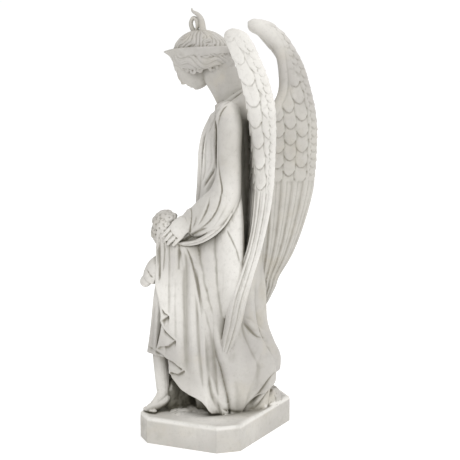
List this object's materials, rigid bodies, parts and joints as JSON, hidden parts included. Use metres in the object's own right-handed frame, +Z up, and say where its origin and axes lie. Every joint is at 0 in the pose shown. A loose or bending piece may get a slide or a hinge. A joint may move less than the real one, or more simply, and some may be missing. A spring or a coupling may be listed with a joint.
{
  "type": "guardian angel garden statue",
  "caption": "Winged angel in a long robe who bows over a small child under the hem of the cloak, cast in one piece with a low octagonal plinth.",
  "frame": {"origin": "centre of the plinth's underside", "axes": "+Z up, from the plinth to the top of the hair; -Y is where the angel faces; +X is the angel's left, the child's side"},
  "size_m": [0.282, 0.2763, 0.7955],
  "materials": {
    "cast_stone": "matte"
  },
  "bodies": {
    "root": {"guardian_angel_statue": "cast_stone"}
  },
  "joints": []
}
